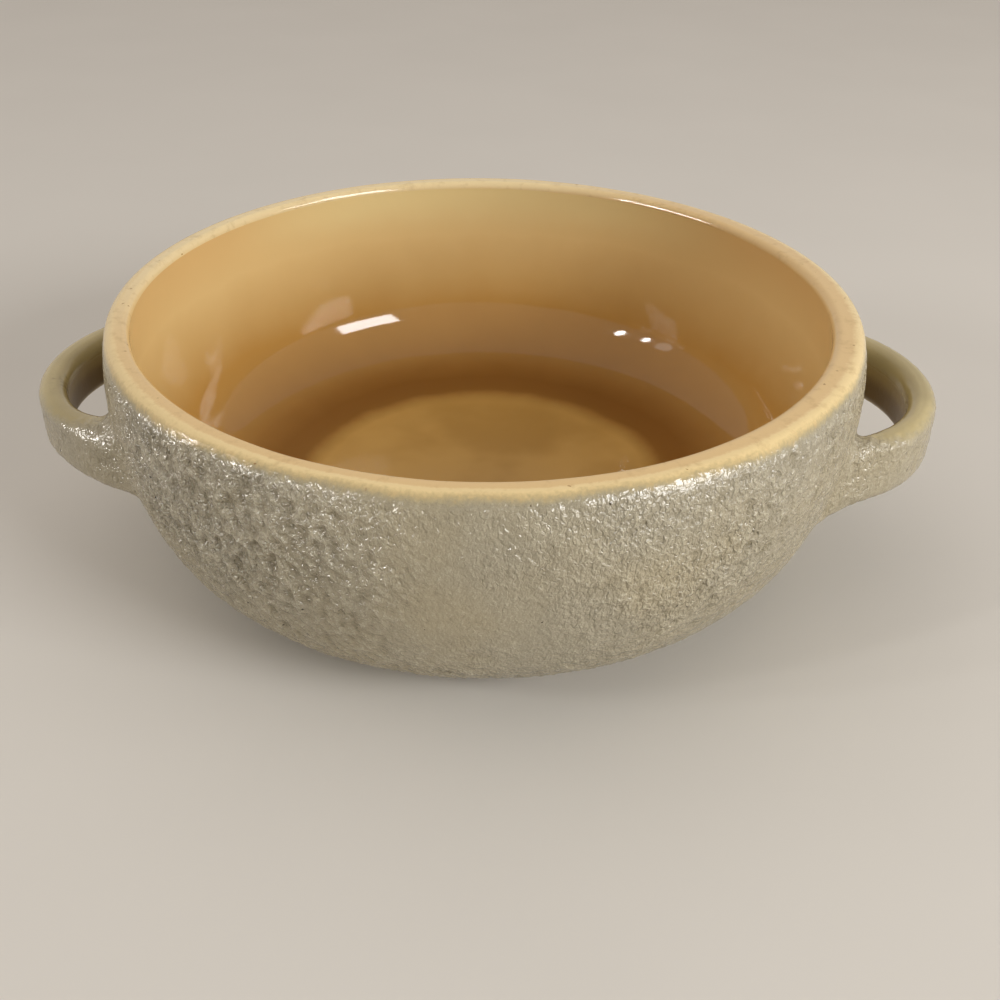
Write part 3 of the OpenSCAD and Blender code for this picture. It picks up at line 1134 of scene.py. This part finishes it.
        glazed = add(k.MOST, on_rim, add(k.TIMES, on_strap, 0.7))
        satin = add(k.BLEND, add(k.STEP, mottle, 0.40, 0.62), self.wet, self.satin)
        rough = add(k.BLEND, glazed, satin, self.glossy)
        rough = add(k.BLEND, add(k.STEP, olive_and_shade_mark, 1.0, 1.6), rough, self.dull)
        height = add(k.TIMES_PLUS, grain, 0.36, add(k.TIMES, crust, 0.16))
        calm = add(k.MOST, add(k.STEP, cream, 0.12, 0.62), add(k.TIMES, on_strap, 0.9))
        share = add(k.TIMES, add(k.BLEND, calm, 1.0, 0.04), add(k.TIMES_PLUS, coarse, 0.75, 0.25))
        ledge = add(k.STEP, cream, 0.27, 0.09, 0.0, 0.13)
        normal = add(k.BUMP, add(k.TIMES_PLUS, height, share, ledge), self.relief * MM)
        return colour, rough, normal


@dataclass(frozen=True)
class HoneyGlaze(Finish):
    """Clear amber glaze, poured in and swilled round.

    It is pale by the rim, where it runs thinly, and it gathers in the corner of the floor,
    where it is darkest. At the back by the rim it is made paler still, which is painted light.
    It is glossy, and reflects the lamps sharply. The mark "run" is the length from the floor's
    middle, in millimetres.
    """

    name: str = "honey_glaze"
    floor: str = "#BD9650"
    floor_cloud: str = "#A9823F"
    dark_band: str = "#7C5018"
    corner: str = "#9A7035"
    wall: str = "#BC8F4A"
    upper: str = "#E9C98A"
    lip: str = "#E6C283"
    # Painted light: a paler colour for the back of the wall by the rim.
    painted_back_light: str = "#F2DC9F"
    length: float = 100.0
    glossy: float = 0.06
    floor_rough: float = 0.24

    def shade(self, add: Add) -> tuple[Value, Value, Value]:
        """Writes the nodes."""
        k = Kind
        place = add(k.PLACE)
        cloud = add(k.NOISE, place, per(24), 3.0)
        wisp = add(k.NOISE, place, per(7), 3.0)
        wander = add(k.TIMES_PLUS, cloud, 0.05, add(k.TIMES_PLUS, wisp, 0.02, -0.035))
        along = add(k.TIMES_PLUS, add(k.MARK, attribute_name="run"), 1 / self.length, wander)
        stops = {
            0.28: self.floor, 0.335: self.floor, 0.385: self.dark_band, 0.44: self.dark_band,
            0.53: self.corner, 0.66: self.wall, 0.84: self.upper, 0.93: self.lip,
        }
        colour = add(k.RAMP, along, stops=stops)
        # Painted light: by the rim at the back the wall is made paler, as if lit more there.
        back = add(k.STEP, add(k.DOT, place, (0.0, 1.0, 0.0)), 30 * MM, 62 * MM)
        painted_back_light = add(k.TIMES, back, add(k.STEP, along, 0.82, 0.93))
        colour = add(k.MIX, painted_back_light, colour, self.painted_back_light)
        on_floor = add(k.STEP, along, 0.41, 0.30)
        clouds = add(k.TIMES, add(k.STEP, cloud, 0.38, 0.68), on_floor)
        colour = add(k.MIX, clouds, colour, self.floor_cloud)
        rough = add(k.BLEND, on_floor, self.glossy, self.floor_rough)
        normal = add(k.BUMP, cloud, 0.1 * MM)
        return colour, rough, normal


@dataclass(frozen=True)
class BareClay(Finish):
    """Fired stoneware that no glaze covers: buff, matt, with fine grog and turning lines."""

    name: str = "bare_stoneware"
    buff: str = "#BFA987"
    warm: str = "#AE9370"
    grog: str = "#8A7355"
    rough: float = 0.78

    def shade(self, add: Add) -> tuple[Value, Value, Value]:
        """Writes the nodes."""
        k = Kind
        place = add(k.PLACE)
        cloud = add(k.NOISE, place, per(12), 3.0)
        grit = add(k.NOISE, place, per(0.6), 3.0)
        far = add(k.LENGTH, add(k.SCALED, place, (1.0, 1.0, 0.0)))
        line = add(k.LINES, far, per(1.4), 2.0)
        colour = add(k.MIX, add(k.STEP, cloud, 0.35, 0.65), self.buff, self.warm)
        colour = add(k.MIX, add(k.STEP, grit, 0.62, 0.74), colour, self.grog)
        normal = add(k.BUMP, add(k.PLUS, grit, line), 0.08 * MM)
        return colour, self.rough, normal


@dataclass(frozen=True)
class StudioPaper(Finish):
    """Pale matt paper under the bowl, with a faint cloudiness."""

    name: str = "studio_paper"
    colour: str = "#D9D5CC"
    cloud: str = "#D4D0C7"
    rough: float = 0.9

    def shade(self, add: Add) -> tuple[Value, Value, Value]:
        """Writes the nodes."""
        k = Kind
        fibre = add(k.NOISE, add(k.PLACE), per(60), 2.0)
        colour = add(k.MIX, fibre, self.colour, self.cloud)
        normal = add(k.BUMP, fibre, 0.01 * MM)
        return colour, self.rough, normal


# The studio


def heading(turn: float, rise: float) -> Vector:
    """Unit vector turned by turn degrees from +Y towards +X and raised by rise degrees."""
    a, e = math.radians(turn), math.radians(rise)
    return Vector((math.sin(a) * math.cos(e), math.cos(a) * math.cos(e), math.sin(e)))


@dataclass(frozen=True)
class Lamp:
    """A flat lamp that faces the bowl from a heading (turn and rise) at a distance."""

    name: str
    turn: float
    rise: float
    far: float
    width: float
    height: float
    power: float
    colour: str = "#FFFFFF"
    mirrored: bool = True
    lights: bool = True

    def build(self) -> None:
        """Puts the lamp in the scene. It may be left out of reflections, or only be seen there."""
        data = bpy.data.lights.new(self.name, "AREA")
        data.shape = "RECTANGLE" if self.width > SPOT_WIDTH else "ELLIPSE"
        data.size, data.size_y = self.width, self.height
        data.energy = self.power
        data.color = linear(self.colour)[:3]
        lamp = placed(self.name, data)
        way = heading(self.turn, self.rise)
        lamp.location = AIM + way * self.far
        lamp.rotation_euler = way.to_track_quat("Z", "Y").to_euler()
        lamp.visible_glossy, lamp.visible_diffuse = self.mirrored, self.lights


@dataclass(frozen=True)
class Studio:
    """Floor, lamps, background and camera."""

    eye: Triple = (3.23, -211.4, 144.95)
    pitch: float = 33.5
    roll: float = 0.985
    lens: float = 43.2
    floor_half: float = 1.6
    floor_gap: float = 0.05
    background: str = "#CFCBC3"
    tent: str = "#FFF5EE"
    ambient: float = 0.02
    sky: float = 0.88
    sky_turn: float = -40.0
    sky_rise: float = 55.0
    lamps: tuple[Lamp, ...] = (
        Lamp("window", 129, 26, 0.9, 0.36, 0.22, 4.4, "#FDFDFF"),
        Lamp("soft_right", 100, 12, 1.3, 0.6, 0.4, 4.6, "#FFFAF4", mirrored=False),
        Lamp("glint_right", 126, 9, 1.2, 0.9, 0.2, 8.5, "#FFFAF4", lights=False),
        Lamp("glint_left", -113, 10, 1.2, 0.8, 0.14, 18.0, "#FFFAF4", lights=False),
        Lamp("spot_a", -123, 29, 0.9, 0.036, 0.17, 0.7),
        Lamp("spot_b", -112, 25.4, 0.9, 0.034, 0.145, 0.56),
        Lamp("pane", -103, 24.5, 0.9, 0.1, 0.24, 0.11),
    )

    def build(self) -> None:
        """Makes the studio."""
        self.floor()
        self.world()
        for lamp in self.lamps:
            lamp.build()
        self.camera()

    def floor(self) -> None:
        """A flat sheet of paper under the foot."""
        s, z = self.floor_half, -self.floor_gap * MM
        mesh = bpy.data.meshes.new("paper")
        mesh.from_pydata([(-s, -s, z), (s, -s, z), (s, s, z), (-s, s, z)], [], [(0, 1, 2, 3)])
        mesh.materials.append(StudioPaper().material())
        paper = placed("paper", mesh)

    def world(self) -> None:
        """Even light that grows towards the back left and up, as from a tent lit from there.

        Its strength is ambient + sky * smooth step of the direction's nearness to that way. The
        camera and reflections see the plain pale background.
        """
        world = bpy.data.worlds.new("studio")
        r = Recipe(world)
        add, k = r.add, Kind
        near = add(k.DOT, add(k.WAY), tuple(heading(self.sky_turn, self.sky_rise)))
        near = add(k.STEP, near, 0.1, 1.0, 0.0, self.sky)
        light = add(k.GLOW, self.tent, add(k.PLUS, near, self.ambient))
        seen = add(k.MOST, add(k.RAYS), add(k.RAYS, out="Is Glossy Ray"))
        seen = add(k.MOST, seen, add(k.RAYS, out="Is Transmission Ray"))
        add(k.SKY, add(k.EITHER, seen, light, add(k.GLOW, self.background, 1.0)))
        bpy.context.scene.world = world

    def camera(self) -> None:
        """The photograph's camera: its place, a level look tipped down by pitch, then a roll."""
        data = bpy.data.cameras.new("camera")
        data.sensor_width, data.lens = 36, self.lens
        data.clip_start, data.clip_end = 0.01, 20
        camera = placed("camera", data)
        tip = Matrix.Rotation(math.radians(90 - self.pitch), 4, "X")
        roll = Matrix.Rotation(math.radians(self.roll), 4, "Z")
        camera.matrix_world = Matrix.Translation(Vector(self.eye) * MM) @ tip @ roll
        bpy.context.scene.camera = camera


def main() -> None:
    """Builds the finishes, the bowl, its handles and the studio."""
    logging.basicConfig(level=logging.INFO, format="%(message)s")
    bpy.context.scene.view_settings.view_transform = "Standard"
    finishes = {
        Slot.CLAY: BareClay().material(),
        Slot.HONEY: HoneyGlaze().material(),
        Slot.CREAM: OuterGlazes("cream_glaze").material(),
        Slot.COAT: OuterGlazes("sandy_coat").material(),
        Slot.OLIVE: OuterGlazes("olive_glaze").material(),
    }
    shape, hand = BowlShape(), HandMade()
    ThrownBowl(shape, hand).build(finishes)
    wide = {"flare_start": 34, "flare_power": 2, "root_in": 6.5, "root_out": 1.8, "root_down": 2.3}
    StrapHandle(Side.LEFT, shape, hand, strap_h=11, fillet=3.8, root_up=3, **wide).build(finishes)
    StrapHandle(Side.RIGHT, shape, hand, fillet=1.9).build(finishes)
    Studio().build()


if __name__ == "__main__":
    main()
